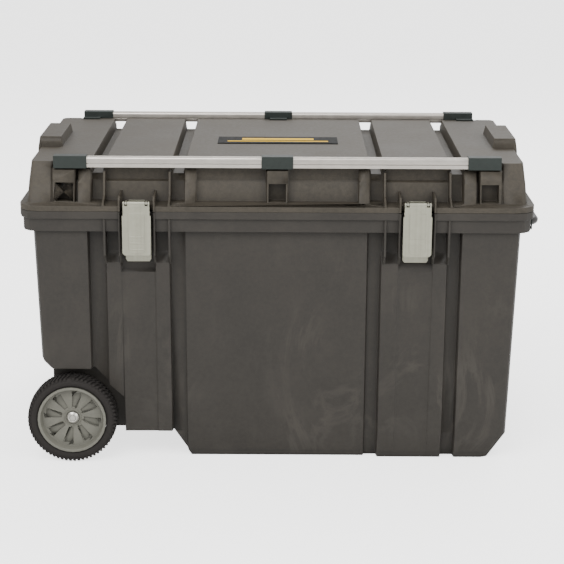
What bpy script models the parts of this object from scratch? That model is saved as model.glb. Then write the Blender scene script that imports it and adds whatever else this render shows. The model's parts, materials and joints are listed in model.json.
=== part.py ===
"""Wheeled carpenter's job chest, modelled as separate named sub-parts.

Metres, +Z up.  The origin is on the floor, at the middle of the chest's length
and depth.  The front with its two latches faces -Y, the wheels are at the -X
end and the pull handle comes out of the +X end.
"""
import math

import bmesh
import bpy
from mathutils import Matrix
from mathutils import Vector

# ---- driving dimensions (metres) -------------------------------------------
GAP = 0.0003                # between solids that touch

# tub walls: half length and half depth at the top of the foot chamfer
FOOT_Z = 0.052
END_X = 0.461
FACE_Y = 0.277
END_DRAFT = 0.0268          # outward lean of the end walls, per metre of height
FACE_DRAFT = 0.0175
FOOT_INSET_X = 0.031
FOOT_INSET_Y = 0.013
WALL = 0.005
WALL_CORNER = 0.018
STEP_SLOPE = 0.0012         # half the width of each step between two columns
CHANNEL_DEPTH = 0.015
PANEL_RECESS = 0.0075
PANEL_UPPER_RECESS = 0.0058
PANEL_STEP_Z = 0.390
POCKET_RECESS = 0.002
POCKET_DEPTH = 0.013
LEDGE_LOW_Z = 0.410
LEDGE_HIGH_Z = 0.430
END_CHANNEL_DEPTH = 0.010
FLOOR_Z = 0.006

# rim, flange and skirt
SKIRT_Z = 0.473
TUB_FLANGE_Z = 0.4995
PARTING_Z = 0.5140
LID_BASE_Z = PARTING_Z + GAP
LID_FLANGE_Z = 0.5248
LID_SHOULDER_Z = 0.5262
RIM_X = 0.497
RIM_Y = 0.300
RIM_CORNER = 0.038
SKIRT_INSET = 0.008
SKIRT_FLARE = 0.005

# lid
LID_END_X = 0.4828
LID_TOP_END_X = 0.4765
LID_BASE_FACE_Y = 0.271
LID_FACE_Y = 0.262
LID_TOP_FACE_Y = 0.2405
LID_GROOVE_RECESS = 0.004
LID_PANEL_RECESS = 0.0165
LID_SLOT_RECESS = 0.0255
LID_UPPER_Y = 0.2365
BLOCK_Z = 0.5625
PILLAR_Z = 0.5868
LID_TOP_Z = 0.600
TOP_CHANNEL_FLOOR_Z = 0.577
TOP_CHANNELS = (0.1918, 0.3483)
TOP_CHANNEL_HALF = 0.0138
TOP_CHANNEL_FLOOR_HALF = 0.0102
LID_WALL = 0.0045
END_BLOCK_TOP_Z = 0.620
END_BLOCK_Y = (-0.090, 0.070)

# rails
RAIL_Y = 0.250
RAIL_DEPTH = 0.018
RAIL_BOTTOM_Z = 0.5920
RAIL_TOP_Z = 0.6124
RAIL_HALF_LENGTH = 0.426
CAP_INNER_X = 0.367
CAP_OUTER_X = 0.431
CLIP_HALF = 0.0305
SLEEVE_WALL = 0.0017

# latches
LATCH_X = 0.269
LATCH_PIVOT = (-0.3045, 0.5320)
LEVER_HALF = 0.0275
LEVER_TOP_HALF = 0.0255
LEVER_BOTTOM_Z = 0.4297
LEVER_SHEET = 0.0015
ROLL_RADIUS = 0.0038
PIN_RADIUS = 0.0018
PIN_HOLE_RADIUS = 0.0021
CLAW_ARM = 0.018            # from the lever's pivot to the claw's pivot
CLAW_ANGLE = math.radians(95)
CLAW_HALF = 0.0155
ARM_INNER = 0.0180
ARM_OUTER = 0.0210
PLATE_BACK_Y = 0.2710
PLATE_SHEET = 0.0020
RIVET_SPREAD = 0.0120
RIVET_Z = 0.4600
NOTCH_HALF = 0.0312
NOTCH_RIM_Y = 0.2840
NOTCH_SKIRT_Y = 0.2705
GUARD_HALF = 0.0352
GUARD_Y = 0.3030
FIN_HALF = 0.0022
TUB_FINS = (-0.3320, -0.2070, 0.2080, 0.3310)
LID_FINS = (-0.3336, -0.2075, 0.2075, 0.3336)

# wheels
WHEEL_X = -0.4056
WHEEL_RADIUS = 0.089
WHEEL_FRONT_Y = 0.300
TYRE_WIDTH = 0.041
RIM_RADIUS = 0.0680
BUSH_RADIUS = 0.0090
AXLE_RADIUS = 0.0060
AXLE_HALF_LENGTH = 0.2840
SPOKES = 8
ARCH_WALL_Y = 0.247

# hinges
HINGE_Y = 0.3100
HINGE_Z = PARTING_Z + GAP / 2
HINGE_XS = (-0.300, 0.0, 0.300)
KNUCKLE_RADIUS = 0.0085
LID_KNUCKLE_HALF = 0.0130
TUB_KNUCKLE_END = 0.0300
HINGE_PIN_RADIUS = 0.0030

# pull handle
HANDLE_TUBE_RADIUS = 0.0080
HANDLE_Y = 0.250
HANDLE_Z = 0.4875
HANDLE_BAR_X = 0.503
HANDLE_BEND = 0.022
HANDLE_LEG_START_X = 0.120
GUIDE_HALF = 0.0130
GUIDE_BORE = 0.0105

# tote tray
TRAY_X = (-0.4550, -0.0180)
TRAY_HALF_Y = 0.2350
TRAY_BOTTOM_Z = 0.420
TRAY_WALL = 0.003

# columns of the long walls: edges along X, and the kind of each stretch
WALL_EDGES = (-0.3651, -0.3320, -0.3020, -0.2360, -0.2070, -0.1780,
              0.1760, 0.2016, 0.2360, 0.3020, 0.3310, 0.3565)
WALL_KINDS = ("end", "channel", "rib", "pocket", "rib", "channel",
              "panel", "channel", "rib", "soft_pocket", "rib", "channel", "end")
END_EDGES = (-0.1730, -0.1470, 0.1470, 0.1730)
END_KINDS = ("end", "end_channel", "end", "end_channel", "end")

# columns of the lid's long walls, for one half from the middle outwards
LID_HALF_EDGES = (0.0210, 0.1570, 0.1790, 0.2075, 0.3336, 0.3597, 0.3850, 0.3900, 0.4330, 0.4368)
LID_HALF_KINDS = ("boss", "panel", "pillar", "slot", "panel", "slot",
                  "pillar", "panel", "boss", "groove", "end")


# ---- scene, materials and small helpers -------------------------------------
def clear_scene():
    for item in list(bpy.data.objects):
        bpy.data.objects.remove(item, do_unlink=True)


def new_collection(name):
    group = bpy.data.collections.new(name)
    bpy.context.scene.collection.children.link(group)
    return group


def linear(value):
    share = value / 255
    if share <= 0.04045:
        return share / 12.92
    return ((share + 0.055) / 1.055) ** 2.4


def make_material(name, colour, roughness, metallic=0.0):
    material = bpy.data.materials.new(name)
    material.use_nodes = True
    shader = material.node_tree.nodes["Principled BSDF"]
    shader.inputs["Base Color"].default_value = [linear(part) for part in colour] + [1.0]
    shader.inputs["Roughness"].default_value = roughness
    shader.inputs["Metallic"].default_value = metallic
    return material


def finish_object(name, bm, material, smooth=None):
    bmesh.ops.recalc_face_normals(bm, faces=bm.faces)
    mesh = bpy.data.meshes.new(name)
    bm.to_mesh(mesh)
    bm.free()
    if smooth:
        mesh.shade_smooth()
        mesh.set_sharp_from_angle(angle=math.radians(smooth))
    item = bpy.data.objects.new(name, mesh)
    if material:
        mesh.materials.append(material)
        parts.objects.link(item)
    else:
        cutters.objects.link(item)
        item.hide_render = True
        item.display_type = "WIRE"
    return item


def combine(target, other, operation):
    modifier = target.modifiers.new(operation.title(), "BOOLEAN")
    modifier.operation = operation
    modifier.object = other


def cut(target, cutter):
    combine(target, cutter, "DIFFERENCE")


def join(target, addition):
    combine(target, addition, "UNION")


def add_box(bm, x, y, z):
    """A box between the two ends given for each axis."""
    size = Vector((x[1] - x[0], y[1] - y[0], z[1] - z[0]))
    middle = Vector((x[0] + x[1], y[0] + y[1], z[0] + z[1])) / 2
    matrix = Matrix.Translation(middle) @ Matrix.Diagonal(size.to_4d())
    bmesh.ops.create_cube(bm, size=1, matrix=matrix)


def add_rod(bm, middle, axis, radius, length, sides=16):
    turn = {"X": Matrix.Rotation(math.pi / 2, 4, "Y"), "Y": Matrix.Rotation(math.pi / 2, 4, "X")}
    matrix = Matrix.Translation(middle) @ turn.get(axis, Matrix.Identity(4))
    bmesh.ops.create_cone(bm, cap_ends=True, segments=sides, radius1=radius, radius2=radius,
                          depth=length, matrix=matrix)


def add_prism(bm, outline, axis, start, end):
    """Extrude a flat outline along an axis; its points are (x, z) for Y and (y, z) for X."""
    if axis == "Y":
        corners = [bm.verts.new((a, start, b)) for a, b in outline]
        shift = Vector((0, end - start, 0))
    else:
        corners = [bm.verts.new((start, a, b)) for a, b in outline]
        shift = Vector((end - start, 0, 0))
    face = bm.faces.new(corners)
    result = bmesh.ops.extrude_face_region(bm, geom=[face])
    moved = [part for part in result["geom"] if isinstance(part, bmesh.types.BMVert)]
    bmesh.ops.translate(bm, verts=moved, vec=shift)


def add_loft(bm, sections):
    """Join flat outlines of equal point count, one above the other."""
    rings = [[bm.verts.new((x, y, z)) for x, y in outline] for z, outline in sections]
    for lower, upper in zip(rings, rings[1:]):
        for index in range(len(lower)):
            following = (index + 1) % len(lower)
            bm.faces.new((lower[index], lower[following], upper[following], upper[index]))
    bm.faces.new(rings[0][::-1])
    bm.faces.new(rings[-1])


def box_object(name, material, *boxes):
    bm = bmesh.new()
    for x, y, z in boxes:
        add_box(bm, x, y, z)
    return finish_object(name, bm, material)


def prism_object(name, material, outline, axis, *stretches):
    bm = bmesh.new()
    for start, end in stretches:
        add_prism(bm, outline, axis, start, end)
    return finish_object(name, bm, material)


def arc(middle, radius, start, end, steps):
    """Points on a circle between two angles in degrees."""
    points = []
    for step in range(steps + 1):
        angle = math.radians(start + (end - start) * step / steps)
        points.append((middle[0] + radius * math.cos(angle), middle[1] + radius * math.sin(angle)))
    return points


def rounded_rectangle(half_x, half_y, radius, steps=3):
    points = []
    for sign_x, sign_y, start in ((1, -1, -90), (1, 1, 0), (-1, 1, 90), (-1, -1, 180)):
        middle = (sign_x * (half_x - radius), sign_y * (half_y - radius))
        points += arc(middle, radius, start, start + 90, steps)
    return points


def inset_outline(points, distance):
    """Move every edge of an anticlockwise outline inwards."""
    result = []
    for index, point in enumerate(points):
        here = Vector(point)
        before = (here - Vector(points[index - 1])).normalized()
        after = (Vector(points[(index + 1) % len(points)]) - here).normalized()
        left_before = Vector((-before.y, before.x))
        left_after = Vector((-after.y, after.x))
        middle = (left_before + left_after).normalized()
        reach = distance / max(middle.dot(left_before), 0.4)
        result.append(tuple(here + middle * reach))
    return result


def stepped_side(edges, kinds, depths, reach):
    """One long side, as (distance along, distance out) pairs, stepping between columns."""
    points = []
    for edge, before, after in zip(edges, kinds, kinds[1:]):
        points.append((edge - STEP_SLOPE, reach - depths[before]))
        points.append((edge + STEP_SLOPE, reach - depths[after]))
    return points


def four_sides(front, right, rear, left, half_x, half_y, radius):
    """An anticlockwise outline from four stepped sides and rounded corners."""
    corner = (half_x - radius, half_y - radius)
    outline = [(s, -d) for s, d in front]
    outline += arc((corner[0], -corner[1]), radius, -90, 0, 2)
    outline += [(d, s) for s, d in right]
    outline += arc(corner, radius, 0, 90, 2)
    outline += [(s, d) for s, d in reversed(rear)]
    outline += arc((-corner[0], corner[1]), radius, 90, 180, 2)
    outline += [(-d, s) for s, d in reversed(left)]
    outline += arc((-corner[0], -corner[1]), radius, 180, 270, 2)
    return outline


def turned(name, profile, sides, material, smooth=35):
    """Turn a profile of (radius, distance along the axis); it closes unless it ends on the axis."""
    bm = bmesh.new()
    corners = [bm.verts.new((radius, 0, height)) for radius, height in profile]
    ends = [] if profile[0][0] == 0 else corners[:1]
    for first, second in zip(corners, corners[1:] + ends):
        bm.edges.new((first, second))
    mesh = bpy.data.meshes.new(name)
    bm.to_mesh(mesh)
    bm.free()
    mesh.materials.append(material)
    item = bpy.data.objects.new(name, mesh)
    parts.objects.link(item)
    screw = item.modifiers.new("Screw", "SCREW")
    screw.steps = sides
    screw.render_steps = sides
    screw.use_merge_vertices = True
    screw.merge_threshold = 0.0001
    screw.use_smooth_shade = smooth > 0
    item.rotation_euler = (math.pi / 2, 0, 0)
    return item


def pivot(name, location):
    empty = bpy.data.objects.new(name, None)
    empty.location = location
    empty.empty_display_size = 0.02
    parts.objects.link(empty)
    return empty


def attach(empty, *items):
    for item in items:
        item.parent = empty
        item.matrix_parent_inverse = Matrix.Translation(-empty.location)


# ---- tub ---------------------------------------------------------------------
def tub_outline(z, depths, rear_depths, inset=0.0):
    above = max(z - FOOT_Z, 0)
    half_x = END_X + END_DRAFT * above
    half_y = FACE_Y + FACE_DRAFT * above
    if z < FOOT_Z:
        share = 1 - z / FOOT_Z
        half_x -= FOOT_INSET_X * share
        half_y -= FOOT_INSET_Y * share
    front = stepped_side(WALL_EDGES, WALL_KINDS, depths, half_y)
    rear = stepped_side(WALL_EDGES, WALL_KINDS, rear_depths, half_y)
    ends = stepped_side(END_EDGES, END_KINDS, depths, half_x)
    outline = four_sides(front, ends, rear, ends, half_x, half_y, WALL_CORNER)
    if inset:
        return inset_outline(outline, inset)
    return outline


def column_depths(rib=0.0, pocket=0.0, soft_pocket=0.0, panel=PANEL_RECESS):
    return {"end": 0.0, "channel": CHANNEL_DEPTH, "end_channel": END_CHANNEL_DEPTH,
            "rib": rib, "pocket": pocket, "soft_pocket": soft_pocket, "panel": panel}


def tub_outer():
    rear = column_depths()
    low = column_depths(pocket=POCKET_RECESS, soft_pocket=POCKET_RECESS)
    stepped = column_depths(0.0, POCKET_DEPTH, POCKET_RECESS, PANEL_UPPER_RECESS)
    ledge = column_depths(0.0, POCKET_DEPTH, POCKET_DEPTH, PANEL_UPPER_RECESS)
    deep = column_depths(CHANNEL_DEPTH, CHANNEL_DEPTH, CHANNEL_DEPTH, PANEL_UPPER_RECESS)
    levels = ((0.0, rear), (FOOT_Z, low), (PANEL_STEP_Z, low), (PANEL_STEP_Z + 0.003, stepped),
              (LEDGE_LOW_Z, ledge), (LEDGE_HIGH_Z, deep), (TUB_FLANGE_Z, deep))
    bm = bmesh.new()
    add_loft(bm, [(z, tub_outline(z, depths, rear)) for z, depths in levels])
    return finish_object("tub", bm, mats["moulding"])


def arch_outline(offset):
    """The wheel arch seen from the front, grown by an offset for the inner wall."""
    return [(-0.600, -0.100), (-0.600, 0.2180 + offset), (-0.4760, 0.2180 + offset),
            (-0.4420, 0.1890 + offset), (-0.3600, 0.1890 + offset),
            (-0.3350 + offset / 2, 0.1610 + offset), (-0.3020 + offset, 0.1305 + offset),
            (-0.3000 + offset, -0.100)]


def raised_floor_outline(offset):
    return [(-0.600, -0.100), (-0.600, 0.0580 + offset), (-0.2050, 0.0580 + offset),
            (-0.1700 + offset, -0.0010), (-0.1700 + offset, -0.100)]


def low_end_outline(offset):
    """The bottom of the wheel end, which steps in below the arch."""
    return [(-0.600, -0.100), (-0.600, 0.2450 + offset), (-0.4900 + offset, 0.2260 + offset),
            (-0.4465 + offset, 0.1900 + offset), (-0.4465 + offset, -0.100)]


def tub_cavity():
    rear = column_depths()
    deep = column_depths(CHANNEL_DEPTH, CHANNEL_DEPTH, CHANNEL_DEPTH, PANEL_RECESS)
    levels = ((FLOOR_Z, rear), (FOOT_Z, rear), (PANEL_STEP_Z - 0.016, rear),
              (PANEL_STEP_Z - 0.004, deep), (PARTING_Z + 0.006, deep))
    bm = bmesh.new()
    add_loft(bm, [(z, tub_outline(z, depths, rear, WALL)) for z, depths in levels])
    cavity = finish_object("cavity_cutter", bm, None)
    cut(cavity, prism_object("inner_arches", None, arch_outline(WALL), "Y",
                             (-0.400, -ARCH_WALL_Y + WALL), (ARCH_WALL_Y - WALL, 0.400)))
    cut(cavity, prism_object("inner_low_end", None, low_end_outline(WALL), "Y", (-0.400, 0.400)))
    cut(cavity, prism_object("inner_raised_floor", None, raised_floor_outline(FLOOR_Z), "Y", (-0.400, 0.400)))
    cut(cavity, box_object("inner_axle_tunnel", None, ((-0.460, -0.296), (-0.400, 0.400), (0.0, 0.115))))
    return cavity


def tub_rim():
    skirt = RIM_Y - SKIRT_INSET
    bm = bmesh.new()
    lower = rounded_rectangle(RIM_X - SKIRT_FLARE - 0.0002, skirt, RIM_CORNER - SKIRT_INSET)
    upper = rounded_rectangle(RIM_X - SKIRT_FLARE, RIM_Y - SKIRT_FLARE, RIM_CORNER - SKIRT_FLARE)
    flange = rounded_rectangle(RIM_X, RIM_Y, RIM_CORNER)
    add_loft(bm, [(SKIRT_Z, lower), (TUB_FLANGE_Z - 0.001, upper), (TUB_FLANGE_Z, flange),
                  (PARTING_Z, flange)])
    return finish_object("rim_addition", bm, None)


def make_ribs(name, *groups):
    """Thin upright ribs: each group is an outline in YZ and the places along X."""
    bm = bmesh.new()
    for outline, xs in groups:
        for x in xs:
            add_prism(bm, outline, "X", x - FIN_HALF, x + FIN_HALF)
    return finish_object(name, bm, None)


def both_sides(values):
    return [sign * value for sign in (-1, 1) for value in values]


def add_tub_ribs(tub):
    guard = [(-0.2655, 0.4085), (-0.2835, 0.4085), (-GUARD_Y, 0.4280), (-GUARD_Y, PARTING_Z - 0.0005),
             (-0.2655, PARTING_Z - 0.0005)]
    offset = GUARD_HALF - FIN_HALF
    guard_xs = both_sides((LATCH_X - offset, LATCH_X + offset))
    fin = [(-0.2655, 0.4075), (-0.2835, 0.4075), (-0.2985, 0.4270), (-0.2985, 0.5040), (-0.2655, 0.5040)]
    join(tub, make_ribs("tub_ribs", (guard, guard_xs), (fin, TUB_FINS)))


def cut_latch_notches(tub):
    for place, x in (("left", -LATCH_X), ("right", LATCH_X)):
        reach = (x - NOTCH_HALF, x + NOTCH_HALF)
        upper = (reach, (-0.350, -NOTCH_RIM_Y), (TUB_FLANGE_Z - 0.004, 0.520))
        lower = (reach, (-0.350, -NOTCH_SKIRT_Y), (0.4400, TUB_FLANGE_Z - 0.001))
        cut(tub, box_object(f"rim_notch_{place}", None, upper))
        cut(tub, box_object(f"skirt_notch_{place}", None, lower))


def cut_handle_sockets(tub):
    sockets = []
    for sign in (-1, 1):
        sides = sorted((sign * 0.2325, sign * 0.2597))
        sockets.append(((0.455, 0.510), sides, (HANDLE_Z - 0.0095, HANDLE_Z + 0.0095)))
    cut(tub, box_object("socket_cutter", None, *sockets))


def make_tub():
    tub = tub_outer()
    cut(tub, prism_object("arch_cutter", None, arch_outline(0), "Y",
                          (-0.400, -ARCH_WALL_Y), (ARCH_WALL_Y, 0.400)))
    cut(tub, prism_object("low_end_cutter", None, low_end_outline(0), "Y", (-0.400, 0.400)))
    cut(tub, prism_object("raised_floor_cutter", None, raised_floor_outline(0), "Y", (-0.400, 0.400)))
    join(tub, tub_rim())
    add_tub_ribs(tub)
    web = [(0.290, TUB_FLANGE_Z + 0.001), (HINGE_Y - 0.001, TUB_FLANGE_Z + 0.001),
           (HINGE_Y - 0.001, HINGE_Z - 0.001), (0.290, HINGE_Z - 0.001)]
    stretches = []
    for x in HINGE_XS:
        stretches.append((x - TUB_KNUCKLE_END, x - LID_KNUCKLE_HALF - 0.0005))
        stretches.append((x + LID_KNUCKLE_HALF + 0.0005, x + TUB_KNUCKLE_END))
    add_knuckles(tub, "tub", web, stretches)
    cut(tub, tub_cavity())
    tunnel = ((-0.4405, -0.3070), (-0.215, 0.215), (0.030, 0.109))
    cut(tub, box_object("tunnel_cutter", None, tunnel))
    bm = bmesh.new()
    add_rod(bm, (WHEEL_X, 0, WHEEL_RADIUS), "Y", AXLE_RADIUS + GAP, 0.6)
    cut(tub, finish_object("axle_bore", bm, None))
    cut_latch_notches(tub)
    cut_handle_sockets(tub)
    return tub


def add_knuckles(target, name, web, stretches):
    join(target, prism_object(f"{name}_webs", None, web, "X", *stretches))
    bm = bmesh.new()
    for start, end in stretches:
        add_rod(bm, ((start + end) / 2, HINGE_Y, HINGE_Z), "X", KNUCKLE_RADIUS, end - start, 12)
    join(target, finish_object(f"{name}_knuckles", bm, None))
    bm = bmesh.new()
    for x in HINGE_XS:
        add_rod(bm, (x, HINGE_Y, HINGE_Z), "X", HINGE_PIN_RADIUS + GAP, 0.080, 10)
    cut(target, finish_object(f"{name}_hinge_bores", bm, None))


# ---- lid ---------------------------------------------------------------------
def lid_outline(z):
    share = (z - LID_SHOULDER_Z) / (LID_TOP_Z - LID_SHOULDER_Z)
    half_x = LID_END_X + (LID_TOP_END_X - LID_END_X) * share
    if z > BLOCK_Z:
        half_y = LID_FACE_Y + (LID_TOP_FACE_Y - LID_FACE_Y) * (z - BLOCK_Z) / (LID_TOP_Z - BLOCK_Z)
    else:
        slope = (LID_FACE_Y - LID_BASE_FACE_Y) / (BLOCK_Z - LID_SHOULDER_Z)
        half_y = LID_BASE_FACE_Y + slope * (z - LID_SHOULDER_Z)
    depths = {"end": 0.0, "pillar": 0.0, "boss": 0.0, "groove": LID_GROOVE_RECESS,
              "panel": LID_PANEL_RECESS, "slot": LID_SLOT_RECESS}
    if z > BLOCK_Z:
        depths["boss"] = half_y - LID_FACE_Y
        depths["panel"] = half_y - LID_UPPER_Y
        depths["slot"] = half_y - LID_UPPER_Y
    if z > PILLAR_Z:
        upper = half_y - LID_UPPER_Y
        depths = {"end": 0.0, "pillar": upper, "boss": upper, "groove": upper, "panel": upper, "slot": upper}
    edges = [-edge for edge in reversed(LID_HALF_EDGES)] + list(LID_HALF_EDGES)
    kinds = list(reversed(LID_HALF_KINDS[1:])) + list(LID_HALF_KINDS)
    side = stepped_side(edges, kinds, depths, half_y)
    return four_sides(side, [], side, [], half_x, half_y, 0.010)


def lid_outer():
    heights = (LID_FLANGE_Z - 0.004, BLOCK_Z, BLOCK_Z + 0.0030, PILLAR_Z, PILLAR_Z + 0.0015, LID_TOP_Z)
    bm = bmesh.new()
    add_loft(bm, [(z, lid_outline(z)) for z in heights])
    return finish_object("lid", bm, mats["lid_moulding"])


def lid_flange():
    rim = rounded_rectangle(RIM_X, RIM_Y, RIM_CORNER)
    shoulder = rounded_rectangle(LID_END_X - 0.002, LID_BASE_FACE_Y - 0.002, 0.012)
    bm = bmesh.new()
    add_loft(bm, [(LID_BASE_Z, rim), (LID_FLANGE_Z, rim), (LID_SHOULDER_Z, shoulder)])
    return finish_object("lid_flange_addition", bm, None)


def end_block(sign):
    """A raised block on the lid's end that runs down the end wall to the flange."""
    front, rear = END_BLOCK_Y
    low = [(0.425, front), (0.4885, front), (0.4885, rear), (0.425, rear)]
    shoulder = [(0.434, front), (0.4845, front), (0.4845, rear), (0.434, rear)]
    top = [(0.438, front + 0.002), (0.4808, front + 0.002), (0.4808, rear - 0.006), (0.438, rear - 0.006)]
    sections = []
    for z, outline in ((LID_FLANGE_Z, low), (0.598, shoulder), (END_BLOCK_TOP_Z, top)):
        points = [(sign * x, y) for x, y in outline]
        sections.append((z, points))
    return sections


def lid_cavity():
    bm = bmesh.new()
    low = rounded_rectangle(0.4700, LID_UPPER_Y - 0.010, 0.020)
    high = rounded_rectangle(LID_TOP_END_X - LID_WALL, LID_UPPER_Y - 0.010, 0.020)
    add_loft(bm, [(LID_BASE_Z - 0.01, low), (0.545, low), (LID_TOP_Z - LID_WALL, high)])
    return finish_object("lid_cavity_cutter", bm, None)


def channel_outline(x, top_half, floor_half, top_z, floor_z):
    return [(x - top_half, top_z), (x - floor_half, floor_z),
            (x + floor_half, floor_z), (x + top_half, top_z)]


def make_top_channels(lid):
    troughs = bmesh.new()
    cutter = bmesh.new()
    for x in both_sides(TOP_CHANNELS):
        outer = channel_outline(x, TOP_CHANNEL_HALF + LID_WALL, TOP_CHANNEL_FLOOR_HALF + LID_WALL,
                                LID_TOP_Z - 0.001, TOP_CHANNEL_FLOOR_Z - LID_WALL)
        add_prism(troughs, outer, "Y", -LID_UPPER_Y + 0.0080, LID_UPPER_Y - 0.0080)
        inner = channel_outline(x, TOP_CHANNEL_HALF, TOP_CHANNEL_FLOOR_HALF,
                                LID_TOP_Z + 0.001, TOP_CHANNEL_FLOOR_Z)
        add_prism(cutter, inner, "Y", -0.300, 0.300)
    join(lid, finish_object("lid_troughs", troughs, None))
    cut(lid, finish_object("top_channel_cutter", cutter, None))


def add_lid_ribs(lid):
    guard = [(-0.2400, 0.5200), (-0.2400, 0.5460), (-0.2960, 0.5440), (-GUARD_Y, 0.5380),
             (-GUARD_Y, LID_BASE_Z + 0.0005), (-0.2900, LID_BASE_Z + 0.0005), (-0.2900, 0.5200)]
    offset = GUARD_HALF - FIN_HALF
    guard_xs = both_sides((LATCH_X - offset, LATCH_X + offset))
    fin = [(-0.2290, 0.5230), (-0.2290, PILLAR_Z - 0.0030), (-0.2570, PILLAR_Z - 0.0030), (-0.2640, 0.5600),
           (-0.2700, 0.5400), (-0.2985, 0.5285), (-0.2985, 0.5230)]
    rear_fin = [(-y, z) for y, z in fin]
    join(lid, make_ribs("lid_ribs", (guard, guard_xs), (fin, LID_FINS), (rear_fin, LID_FINS)))


def cut_column_panels(lid):
    half = 0.0165
    panels = []
    for x in (-0.4105, 0.0, 0.4105):
        for sign in (-1, 1):
            sides = sorted((sign * 0.300, sign * (LID_FACE_Y - LID_PANEL_RECESS)))
            panels.append(((x - half, x + half), sides, (LID_SHOULDER_Z + 0.001, BLOCK_Z - 0.001)))
    cut(lid, box_object("column_panels", None, *panels))


def make_lid():
    lid = lid_outer()
    join(lid, lid_flange())
    for sign in (-1, 1):
        bm = bmesh.new()
        add_loft(bm, end_block(sign))
        join(lid, finish_object(f"end_block_{sign}", bm, None))
    add_lid_ribs(lid)
    web = [(0.290, HINGE_Z + 0.001), (HINGE_Y - 0.001, HINGE_Z + 0.001),
           (HINGE_Y - 0.001, LID_FLANGE_Z - 0.002),
           (0.290, LID_FLANGE_Z - 0.002)]
    add_knuckles(lid, "lid", web, [(x - LID_KNUCKLE_HALF, x + LID_KNUCKLE_HALF) for x in HINGE_XS])
    cut(lid, lid_cavity())
    make_top_channels(lid)
    cut_column_panels(lid)
    for place, x in (("left", -LATCH_X), ("right", LATCH_X)):
        reach = (x - NOTCH_HALF, x + NOTCH_HALF)
        cut(lid, box_object(f"lid_notch_{place}", None, (reach, (-0.350, -NOTCH_RIM_Y), (0.500, 0.5450))))
    cut(lid, ring_object("seal_groove", None, 0.0, (LID_BASE_Z - 0.005, LID_BASE_Z + 0.0035)))
    return lid


def ring_object(name, material, ease, heights):
    """A rectangular ring that follows the rim; ease makes the seal smaller than its groove."""
    outer = rounded_rectangle(RIM_X - 0.0165 - ease, RIM_Y - 0.0165 - ease, 0.022)
    inner = rounded_rectangle(RIM_X - 0.0225 + ease, RIM_Y - 0.0225 + ease, 0.016)
    bm = bmesh.new()
    rings = []
    for z in heights:
        for outline in (outer, inner):
            rings.append([bm.verts.new((x, y, z)) for x, y in outline])
    low_outer, low_inner, high_outer, high_inner = rings
    for first, second in ((low_outer, high_outer), (high_outer, high_inner),
                          (high_inner, low_inner), (low_inner, low_outer)):
        for index in range(len(first)):
            following = (index + 1) % len(first)
            bm.faces.new((first[index], first[following], second[following], second[index]))
    return finish_object(name, bm, material)


# ---- rails on the lid ----------------------------------------------------------
def sleeve_outline(sign, wall):
    half = RAIL_DEPTH / 2 + GAP + wall
    low = RAIL_BOTTOM_Z - GAP - wall
    high = RAIL_TOP_Z + GAP + wall
    middle = sign * RAIL_Y
    return [(middle - half, low), (middle + half, low), (middle + half, high), (middle - half, high)]


def make_rail(name, sign):
    half = RAIL_DEPTH / 2
    lip = 0.0035
    middle = sign * RAIL_Y
    outline = [(middle - half, RAIL_BOTTOM_Z), (middle + half, RAIL_BOTTOM_Z),
               (middle + half, RAIL_TOP_Z - lip), (middle + half - lip, RAIL_TOP_Z),
               (middle - half + lip, RAIL_TOP_Z), (middle - half, RAIL_TOP_Z - lip)]
    return prism_object(name, mats["aluminium"], outline, "X", (-RAIL_HALF_LENGTH, RAIL_HALF_LENGTH))


def make_sleeve(name, sign, start, end, bore_start, bore_end, foot):
    """A plastic cap or clip around a rail, with a foot on the lid's top."""
    sleeve = prism_object(name, mats["trim"], sleeve_outline(sign, SLEEVE_WALL), "X", (start, end))
    foot_sides = sorted((sign * (RAIL_Y - RAIL_DEPTH / 2 - SLEEVE_WALL), sign * 0.222))
    join(sleeve, box_object(f"{name}_foot", None, (foot, foot_sides, (LID_TOP_Z + GAP, LID_TOP_Z + 0.0035))))
    cut(sleeve, prism_object(f"{name}_bore", None, sleeve_outline(sign, 0), "X", (bore_start, bore_end)))
    return sleeve


def make_rails():
    pieces = []
    for place, sign in (("front", -1), ("rear", 1)):
        pieces.append(make_rail(f"rail_{place}", sign))
        pieces.append(make_sleeve(f"rail_clip_{place}", sign, -CLIP_HALF, CLIP_HALF,
                                  -CLIP_HALF - 0.01, CLIP_HALF + 0.01, (-0.019, 0.019)))
        pieces.append(make_sleeve(f"rail_cap_{place}_left", sign, -CAP_OUTER_X, -CAP_INNER_X,
                                  -RAIL_HALF_LENGTH - GAP, -CAP_INNER_X + 0.01, (-0.4310, -0.3940)))
        pieces.append(make_sleeve(f"rail_cap_{place}_right", sign, CAP_INNER_X, CAP_OUTER_X,
                                  CAP_INNER_X - 0.01, RAIL_HALF_LENGTH + GAP, (0.3940, 0.4310)))
    return pieces


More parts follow.
